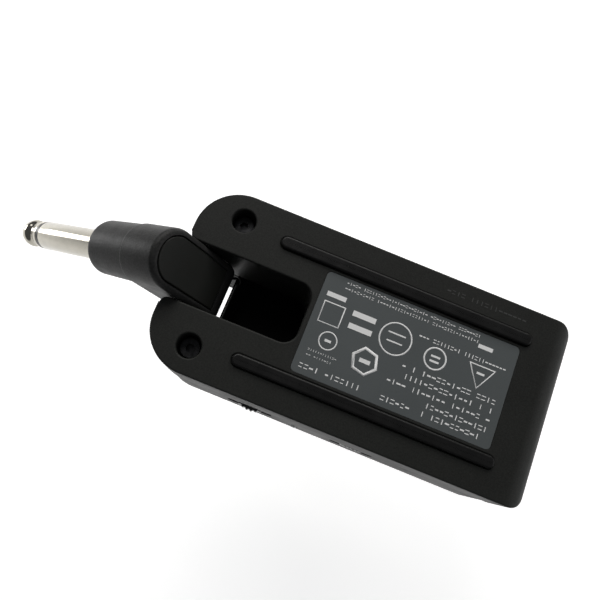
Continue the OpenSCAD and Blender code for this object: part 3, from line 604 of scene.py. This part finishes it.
def printRowTree(name, material):
    # a row of paired lines, strokes and bars in random order, as unreadable small print
    tree, given = newTree(name, {
        "Marks": ("NodeSocketInt", 5), "Pitch": ("NodeSocketFloat", 0.001),
        "Narrowest": ("NodeSocketFloat", 0.55), "Widest": ("NodeSocketFloat", 0.85),
        "Filled": ("NodeSocketFloat", 0.93), "Mark Height": ("NodeSocketFloat", 0.001),
        "Line": ("NodeSocketFloat", 0.0002), "Rise": ("NodeSocketFloat", 0.00002),
        "Seed": ("NodeSocketInt", 1)})
    step = add(tree, "ShaderNodeCombineXYZ", {"X": given["Pitch"]}).outputs[0]
    line = add(tree, "GeometryNodeMeshLine", {"Count": given["Marks"], "Offset": step}).outputs[0]
    apart = combined(tree, "MULTIPLY", given["Mark Height"], 0.7)
    halfway = combined(tree, "MULTIPLY", apart, -0.5)
    lowest = add(tree, "ShaderNodeCombineXYZ", {"Y": halfway}).outputs[0]
    upward = add(tree, "ShaderNodeCombineXYZ", {"Y": apart}).outputs[0]
    ends = add(tree, "GeometryNodeMeshLine",
               {"Count": 2, "Start Location": lowest, "Offset": upward}).outputs[0]
    slim = add(tree, "ShaderNodeCombineXYZ",
               {"X": given["Pitch"], "Y": given["Line"], "Z": given["Rise"]}).outputs[0]
    slimBar = add(tree, "GeometryNodeMeshCube", {"Size": slim}).outputs[0]
    twoBars = add(tree, "GeometryNodeInstanceOnPoints",
                  {"Points": ends, "Instance": slimBar}).outputs[0]
    pair = add(tree, "GeometryNodeRealizeInstances", {"Geometry": twoBars}).outputs[0]
    thick = combined(tree, "MULTIPLY", given["Line"], 1.5)
    upright = add(tree, "ShaderNodeCombineXYZ",
                  {"X": thick, "Y": given["Mark Height"], "Z": given["Rise"]}).outputs[0]
    stroke = add(tree, "GeometryNodeMeshCube", {"Size": upright}).outputs[0]
    low = combined(tree, "MULTIPLY", given["Mark Height"], 0.3)
    flat = add(tree, "ShaderNodeCombineXYZ",
               {"X": given["Pitch"], "Y": low, "Z": given["Rise"]}).outputs[0]
    bar = add(tree, "GeometryNodeMeshCube", {"Size": flat}).outputs[0]
    shapes = add(tree, "GeometryNodeJoinGeometry")
    for shape in (pair, stroke, bar):
        single = add(tree, "GeometryNodeGeometryToInstance", {"Geometry": shape}).outputs[0]
        tree.links.new(single, shapes.inputs[0])
    width = add(tree, "FunctionNodeRandomValue",
                {2: given["Narrowest"], 3: given["Widest"], "Seed": given["Seed"]}, data_type="FLOAT")
    kept = add(tree, "FunctionNodeRandomValue",
               {"Probability": given["Filled"], "Seed": given["Seed"]}, data_type="BOOLEAN")
    picked = add(tree, "FunctionNodeRandomValue",
                 {4: 0, 5: 2, "Seed": given["Seed"]}, data_type="INT")
    stretch = add(tree, "ShaderNodeCombineXYZ",
                  {"X": width.outputs[1], "Y": 1.0, "Z": 1.0}).outputs[0]
    marks = add(tree, "GeometryNodeInstanceOnPoints",
                {"Points": line, "Selection": kept.outputs[3], "Instance": shapes.outputs[0],
                 "Pick Instance": True, "Instance Index": picked.outputs[2],
                 "Scale": stretch}).outputs[0]
    return closeTree(tree, marks, material)


def solidTree(name, material):
    # one plain bar
    tree, given = newTree(name, {
        "Length": ("NodeSocketFloat", 0.002), "Mark Height": ("NodeSocketFloat", 0.001),
        "Rise": ("NodeSocketFloat", 0.00002)})
    size = add(tree, "ShaderNodeCombineXYZ",
               {"X": given["Length"], "Y": given["Mark Height"], "Z": given["Rise"]}).outputs[0]
    bar = add(tree, "GeometryNodeMeshCube", {"Size": size}).outputs[0]
    return closeTree(tree, bar, material)


def outlineTree(name, material):
    # a plain closed outline with any number of sides
    tree, given = newTree(name, {
        "Sides": ("NodeSocketInt", 3), "Radius": ("NodeSocketFloat", 0.002),
        "Line": ("NodeSocketFloat", 0.0003), "Rise": ("NodeSocketFloat", 0.00002)})
    ring = add(tree, "GeometryNodeMeshCircle",
               {"Vertices": given["Sides"], "Radius": given["Radius"]}).outputs[0]
    path = add(tree, "GeometryNodeMeshToCurve", {"Mesh": ring}).outputs[0]
    section = add(tree, "GeometryNodeCurvePrimitiveQuadrilateral",
                  {"Width": given["Line"], "Height": given["Rise"]}).outputs[0]
    body = add(tree, "GeometryNodeCurveToMesh", {"Curve": path, "Profile Curve": section}).outputs[0]
    return closeTree(tree, body, material)


labelLow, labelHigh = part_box("rating_label")
labelTop = labelHigh.z
printLook = {
    "rise": 0.00003, "sink": 0.4, "stroke": 0.17,     # shares of the rise and of the mark height
    # small print: start and length along the label, distance from its upper edge, height, marks
    "rows": [(1.5, 21.4, 1.7, 1.0, 21), (26.9, 12.7, 1.7, 1.0, 12), (1.5, 12.8, 3.45, 1.0, 13),
             (1.5, 21.4, 5.35, 1.0, 21), (1.5, 18.5, 7.2, 1.0, 18), (1.5, 19.5, 9.0, 1.0, 19),
             (33.7, 5.3, 4.05, 0.4, 10), (33.0, 6.0, 5.1, 0.4, 12), (1.5, 8.8, 15.8, 0.8, 12),
             (11.0, 8.7, 15.8, 0.8, 12), (8.2, 28.3, 19.05, 0.6, 46), (8.2, 28.3, 20.2, 0.6, 48)],
    # outlines: place along and down the label, sides, radius, line width
    "outlines": [(6.0, 13.2, 3, 3.0, 0.42), (15.3, 12.6, 48, 2.15, 0.34), (23.8, 13.3, 64, 3.2, 0.3),
                 (27.9, 6.9, 6, 2.6, 0.62), (35.9, 7.9, 48, 1.75, 0.26), (37.1, 13.1, 4, 3.0, 0.3)],
    # solid marks: place along and down the label, length, height
    "solids": [(15.3, 12.0, 1.9, 0.4), (15.3, 13.0, 1.9, 0.4), (23.8, 12.6, 3.2, 0.28),
               (23.8, 14.3, 3.6, 0.28), (27.9, 6.9, 2.2, 0.8), (35.9, 7.9, 1.3, 0.5),
               (30.9, 12.4, 4.8, 1.1), (30.9, 15.0, 4.8, 1.1), (37.4, 16.8, 4.0, 0.95),
               (6.6, 18.4, 3.0, 0.8), (6.0, 13.2, 1.6, 0.45)],
}


def labelPoint(along, down):
    # small print reads from the far end towards the plug, with its top towards the wheel's side
    return Vector((labelHigh.x - along * millimetre, labelLow.y + down * millimetre, 0))


def ratingPrint(look):
    rowTree = printRowTree("smallPrint", labelInk)
    outline = outlineTree("plainOutline", labelInk)
    solid = solidTree("plainBar", labelInk)
    height = labelTop + look["rise"] * look["sink"]
    parts = []
    for index, (along, length, down, tall, count) in enumerate(look["rows"]):
        pitch = length / count * millimetre
        row = grow("row", rowTree, {"Marks": count, "Pitch": pitch, "Mark Height": tall * millimetre,
                                    "Line": tall * look["stroke"] * millimetre, "Rise": look["rise"],
                                    "Seed": index + 3})
        start = labelPoint(along, down) - Vector((pitch / 2, 0, 0))
        row.data.transform(Matrix.Translation((start.x, start.y, height)) @
                           Matrix.Rotation(math.pi, 4, "Z"))
        parts.append(row)
    for along, down, sides, radius, line in look["outlines"]:
        mark = grow("mark", outline, {"Sides": sides, "Radius": radius * millimetre,
                                      "Line": line * millimetre, "Rise": look["rise"]})
        centre = labelPoint(along, down)
        turn = Matrix.Rotation(math.radians(-90 if sides == 3 else 45), 4, "Z")
        mark.data.transform(Matrix.Translation((centre.x, centre.y, height)) @ turn)
        parts.append(mark)
    for along, down, length, tall in look["solids"]:
        mark = grow("mark", solid, {"Length": length * millimetre, "Mark Height": tall * millimetre,
                                    "Rise": look["rise"]})
        centre = labelPoint(along, down)
        mark.data.transform(Matrix.Translation((centre.x, centre.y, height)))
        parts.append(mark)
    return joined("ratingPrint", parts)


finish(ratingPrint(printLook), "body", "label_film")

serialLook = {"start": 68.3, "length": 17.0, "side": 16.1, "height": 0.9, "marks": 17,
              "line": 0.00016, "rise": 0.00002, "sink": 0.4, "seed": 11}


def serialRow(look):
    shellLow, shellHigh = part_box("back_shell")
    pitch = look["length"] / look["marks"] * millimetre
    row = grow("serialRow", printRowTree("serialPrint", faintInk), {
        "Marks": look["marks"], "Pitch": pitch, "Mark Height": look["height"] * millimetre,
        "Line": look["line"], "Rise": look["rise"], "Seed": look["seed"]})
    place = (shellLow.x + look["start"] * millimetre - pitch / 2, look["side"] * millimetre,
             shellHigh.z + look["rise"] * look["sink"])
    row.data.transform(Matrix.Translation(place) @ Matrix.Rotation(math.pi, 4, "Z"))
    return row


finish(serialRow(serialLook), "body", "matte_shell")
print("label printed")


# screws

def screwTree(name, material):
    tree, given = newTree(name, {
        "Head Radius": ("NodeSocketFloat", 0.0019), "Head Height": ("NodeSocketFloat", 0.0013),
        "Socket Radius": ("NodeSocketFloat", 0.0009), "Socket Depth": ("NodeSocketFloat", 0.0008),
        "Shank Radius": ("NodeSocketFloat", 0.001), "Length": ("NodeSocketFloat", 0.011),
        "Spread": ("NodeSocketFloat", 0.027)})

    def lifted(mesh, height):
        lift = add(tree, "ShaderNodeCombineXYZ", {"Z": height}).outputs[0]
        return add(tree, "GeometryNodeTransform", {"Geometry": mesh, "Translation": lift}).outputs[0]

    def times(value, factor):
        return combined(tree, "MULTIPLY", value, factor)

    head = add(tree, "GeometryNodeMeshCylinder",
               {"Vertices": 48, "Radius": given["Head Radius"],
                "Depth": given["Head Height"]}).outputs[0]
    socket = add(tree, "GeometryNodeMeshCylinder",
                 {"Vertices": 6, "Radius": given["Socket Radius"],
                  "Depth": times(given["Socket Depth"], 2.0)}).outputs[0]
    cut = add(tree, "GeometryNodeMeshBoolean",
              {"Mesh 1": lifted(head, times(given["Head Height"], -0.5)), "Mesh 2": socket},
              operation="DIFFERENCE", solver="EXACT").outputs[0]
    shank = add(tree, "GeometryNodeMeshCylinder",
                {"Vertices": 24, "Radius": given["Shank Radius"], "Depth": given["Length"]}).outputs[0]
    drop = combined(tree, "SUBTRACT", times(given["Length"], -0.5), given["Head Height"])
    whole = add(tree, "GeometryNodeJoinGeometry")
    for part in (lifted(shank, drop), cut):
        tree.links.new(part, whole.inputs[0])
    low = add(tree, "ShaderNodeCombineXYZ", {"Y": times(given["Spread"], -0.5)}).outputs[0]
    high = add(tree, "ShaderNodeCombineXYZ", {"Y": times(given["Spread"], 0.5)}).outputs[0]
    places = add(tree, "GeometryNodeMeshLine",
                 {"Count": 2, "Start Location": low, "Offset": high}, mode="END_POINTS").outputs[0]
    pair = add(tree, "GeometryNodeInstanceOnPoints",
               {"Points": places, "Instance": whole.outputs[0]}).outputs[0]
    return closeTree(tree, pair, material)


screwLook = {
    "Head Radius": 0.0019, "Head Height": 0.0013, "Socket Radius": 0.0009, "Socket Depth": 0.0009,
    "Shank Radius": 0.00098, "Length": 0.0109,
}


def coverScrews(look):
    low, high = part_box("cover_screws")
    spreadY = high.y - low.y - 2 * look["Head Radius"]
    piece = grow("coverScrews", screwTree("screwPair", darkSteel), {**look, "Spread": spreadY})
    piece.data.transform(Matrix.Translation(((low.x + high.x) / 2, 0, high.z)))
    smoothByAngle(piece.data, 40)
    return piece


finish(coverScrews(screwLook), "body", "dark_steel", "cover_screws")

# painted highlight: a pale ring drawn on each dark screw head where its socket's chamfer would shine
rimHighlightLook = {"radius": 0.0012, "line": 0.00011, "sink": 0.0001, "segments": 48}


def screwRimHighlights(look):
    # pale ring round each screw's socket: a painted highlight, standing in for the light that the
    # socket's chamfer catches
    low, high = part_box("cover_screws")
    side = (high.y - low.y) / 2 - screwLook["Head Radius"]
    ring = outlineTree("roundRimHighlight", labelInk)
    parts = []
    for y in (-side, side):
        rim = grow("rim", ring, {"Sides": look["segments"], "Radius": look["radius"],
                                 "Line": look["line"], "Rise": look["line"]})
        rim.data.transform(Matrix.Translation(((low.x + high.x) / 2, y, high.z - look["sink"])))
        parts.append(rim)
    return joined("screwRimHighlights", parts)


finish(screwRimHighlights(rimHighlightLook), "body", "dark_steel")
print("screws set")


# thumbwheel

def wheelTree(name, material):
    # a cylinder whose rim is pushed in and out in even flutes
    tree, given = newTree(name, {
        "Radius": ("NodeSocketFloat", 0.006), "Width": ("NodeSocketFloat", 0.0038),
        "Bore": ("NodeSocketFloat", 0.00155), "Flutes": ("NodeSocketInt", 36),
        "Flute Depth": ("NodeSocketFloat", 0.0003)})
    rimPoints = combined(tree, "MULTIPLY", given["Flutes"], 12.0)
    rim = add(tree, "GeometryNodeMeshCylinder",
              {"Vertices": rimPoints, "Side Segments": 1, "Radius": given["Radius"],
               "Depth": given["Width"]}).outputs[0]
    place = add(tree, "GeometryNodeInputPosition").outputs[0]
    parts = add(tree, "ShaderNodeSeparateXYZ", {"Vector": place}).outputs
    angle = combined(tree, "ARCTAN2", parts["Y"], parts["X"])
    wave = combined(tree, "COSINE", combined(tree, "MULTIPLY", angle, given["Flutes"]))
    down = combined(tree, "SUBTRACT", wave, 1.0)
    half = combined(tree, "MULTIPLY", combined(tree, "MULTIPLY", down, given["Flute Depth"]), 0.5)
    flat = add(tree, "ShaderNodeVectorMath", {0: place, 1: (1, 1, 0)}, operation="MULTIPLY").outputs[0]
    outward = add(tree, "ShaderNodeVectorMath", {0: flat}, operation="NORMALIZE").outputs[0]
    shift = add(tree, "ShaderNodeVectorMath", {0: outward, "Scale": half}, operation="SCALE").outputs[0]
    fluted = add(tree, "GeometryNodeSetPosition", {"Geometry": rim, "Offset": shift}).outputs[0]
    twice = combined(tree, "MULTIPLY", given["Width"], 2.0)
    bore = add(tree, "GeometryNodeMeshCylinder",
               {"Vertices": 48, "Radius": given["Bore"], "Depth": twice}).outputs[0]
    drilled = add(tree, "GeometryNodeMeshBoolean", {"Mesh 1": fluted, "Mesh 2": bore},
                  operation="DIFFERENCE", solver="EXACT").outputs[0]
    return closeTree(tree, drilled, material)


wheelLook = {"Bore": 0.00155, "Flutes": 34, "Flute Depth": 0.00028}
wheelEdge = 0.0002


def volumeWheel(look):
    low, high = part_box("volume_wheel")
    radius = (high.x - low.x) / 2
    piece = grow("volumeWheel", wheelTree("flutedWheel", controlPlastic),
                 {**look, "Radius": radius, "Width": high.z - low.z})
    centre = (low + high) / 2
    piece.data.transform(Matrix.Translation(centre))
    rounding = piece.modifiers.new("rounding", "BEVEL")
    rounding.limit_method = "ANGLE"
    rounding.angle_limit = math.radians(60)
    rounding.width = wheelEdge
    rounding.segments = 2
    baked(piece)
    smoothByAngle(piece.data, 50)
    return piece


finish(volumeWheel(wheelLook), "wheel", "control_plastic", "volume_wheel")
print("wheel made")


# grip ribs and key signs

def ribTree(name, material):
    # even ribs across a small knob
    tree, given = newTree(name, {
        "Count": ("NodeSocketInt", 3), "Pitch": ("NodeSocketFloat", 0.0008),
        "Radius": ("NodeSocketFloat", 0.0002), "Length": ("NodeSocketFloat", 0.002)})
    step = add(tree, "ShaderNodeCombineXYZ", {"X": given["Pitch"]}).outputs[0]
    line = add(tree, "GeometryNodeMeshLine", {"Count": given["Count"], "Offset": step}).outputs[0]
    rib = add(tree, "GeometryNodeMeshCylinder",
              {"Vertices": 16, "Radius": given["Radius"], "Depth": given["Length"]}).outputs[0]
    ribs = add(tree, "GeometryNodeInstanceOnPoints", {"Points": line, "Instance": rib}).outputs[0]
    return closeTree(tree, ribs, material)


sliderLook = {"Count": 4, "Pitch": 0.0009, "Radius": 0.0002, "Length": 0.0022}


def sliderRibs(look):
    low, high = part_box("power_slider")
    piece = grow("sliderRibs", ribTree("knobRibs", controlPlastic), look)
    start = (low.x + high.x) / 2 - look["Pitch"] * (look["Count"] - 1) / 2
    piece.data.transform(Matrix.Translation((start, low.y + look["Radius"] / 2, (low.z + high.z) / 2)))
    smoothByAngle(piece.data, 40)
    return piece


finish(sliderRibs(sliderLook), "slider", "control_plastic")

signLook = {"length": 1.3, "line": 0.28, "below": 2.9, "rise": 0.00002}


def keySigns(look):
    # a minus under each lower key and a plus under each higher one
    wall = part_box("front_shell")[1].y
    solid = solidTree("signBar", labelInk)
    stand = Matrix.Rotation(math.radians(90), 4, "X")
    parts = []
    for key in ("voice", "tone", "effect", "level"):
        for step in ("down", "up"):
            low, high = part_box(f"{key}_{step}_button")
            drop = look["below"] * millimetre
            spot = Vector(((low.x + high.x) / 2, wall, (low.z + high.z) / 2 - drop))
            for turn in (0, 90) if step == "up" else (0,):
                bar = grow("bar", solid, {"Length": look["length"] * millimetre,
                                          "Mark Height": look["line"] * millimetre,
                                          "Rise": look["rise"]})
                bar.data.transform(Matrix.Translation(spot) @ stand @
                                   Matrix.Rotation(math.radians(turn), 4, "Z"))
                parts.append(bar)
    return joined("keySigns", parts)


finish(keySigns(signLook), "body", "gloss_shell")
print("ribs and signs added")


# carried-over nodes inside the body

inside = {
    "hinge_axle": brightSteel, "axle_bushes": paleNylon, "axle_clips": darkSteel,
    "friction_washers": paleNylon, "arm_leads": leadSheath, "body_leads": leadSheath,
    "main_board": circuitBoard, "board_chips": blackNylon, "shield_can": brightSteel,
    "chip_antenna": paleNylon, "battery_cell": batteryFoil, "battery_pad": foamRubber,
    "battery_leads": leadSheath, "battery_connector": paleNylon, "volume_pot": brightSteel,
    "slide_switch": brightSteel, "status_leds": clearLens, "button_board": circuitBoard,
    "tact_switches": brightSteel,
}
for node, material in inside.items():
    holder = frame["nodes"][node]
    for index in range(len(holder.material_slots)):
        holder.material_slots[index].material = material
print("inner pieces painted")


# floor, light and camera

floorLook = {"height": -0.068, "size": 3.0, "glow": 0.6, "roughness": 0.9, "specular": 0.1}


def makeFloor(look):
    mesh = bpy.data.meshes.new("floor")
    half = look["size"] / 2
    corners = [(x * half, y * half, look["height"]) for x, y in ((-1, -1), (1, -1), (1, 1), (-1, 1))]
    mesh.from_pydata(corners, [], [(0, 1, 2, 3)])
    material, tree, shader, place = startMaterial("floorPaper")
    tint = blendColors(tree, mottle(tree, place, 3.0), (0.88, 0.88, 0.88), (0.9, 0.9, 0.9))
    tree.links.new(tint, shader.inputs["Base Color"])
    shader.inputs["Roughness"].default_value = look["roughness"]
    shader.inputs["Specular IOR Level"].default_value = look["specular"]
    shader.inputs["Emission Color"].default_value = (1, 1, 1, 1)
    shader.inputs["Emission Strength"].default_value = look["glow"]
    mesh.materials.append(material)
    floor = linkObject("floor", mesh)


makeFloor(floorLook)

lights = {
    # name: place, aim, size, power, colour
    "keyPanel": ((0.05, 0.75, 0.4), (0.06, 0, 0), (0.6, 0.35), 3.5, (1.0, 0.98, 0.95)),
    "sidePanel": ((0.75, 0.1, 0.3), (0.06, 0, 0), (0.5, 0.5), 1.0, (1.0, 1.0, 1.0)),
    "topPanel": ((-0.35, 0.55, 0.7), (0.04, 0, 0), (0.5, 0.5), 3.5, (1.0, 0.99, 0.97)),
    "plugPanel": ((-0.19, 0.02, -0.015), (-0.02, 0, -0.02), (0.06, 0.08), 0.12, (1.0, 1.0, 1.0)),
}
for name, (place, aim, size, power, color) in lights.items():
    lamp = bpy.data.lights.new(name, "AREA")
    lamp.shape = "RECTANGLE"
    lamp.size, lamp.size_y = size
    lamp.energy = power
    lamp.color = color
    holder = bpy.data.objects.new(name, lamp)
    holder.location = place
    holder.rotation_euler = (Vector(aim) - Vector(place)).to_track_quat("-Z", "Y").to_euler()
    scene.collection.objects.link(holder)

roomLook = {"color": (0.93, 0.96, 1.0, 1), "strength": 0.12}
room = bpy.data.worlds.new("room")
room.use_nodes = True
room.node_tree.nodes["Background"].inputs["Color"].default_value = roomLook["color"]
room.node_tree.nodes["Background"].inputs["Strength"].default_value = roomLook["strength"]
scene.world = room
scene.view_settings.view_transform = "Standard"

cameraLook = {"place": (0.04173, -0.02617, 0.12736), "turn": (12.88, -4.72, 21.61), "lens": 37.8}


def makeCamera(look):
    eye = bpy.data.cameras.new("mainCamera")
    eye.lens = look["lens"]
    eye.sensor_width = 36
    eye.clip_start = 0.005
    holder = bpy.data.objects.new("mainCamera", eye)
    holder.location = look["place"]
    holder.rotation_euler = Euler([math.radians(a) for a in look["turn"]])
    scene.collection.objects.link(holder)
    scene.camera = holder


makeCamera(cameraLook)
print("floor, light and camera set")
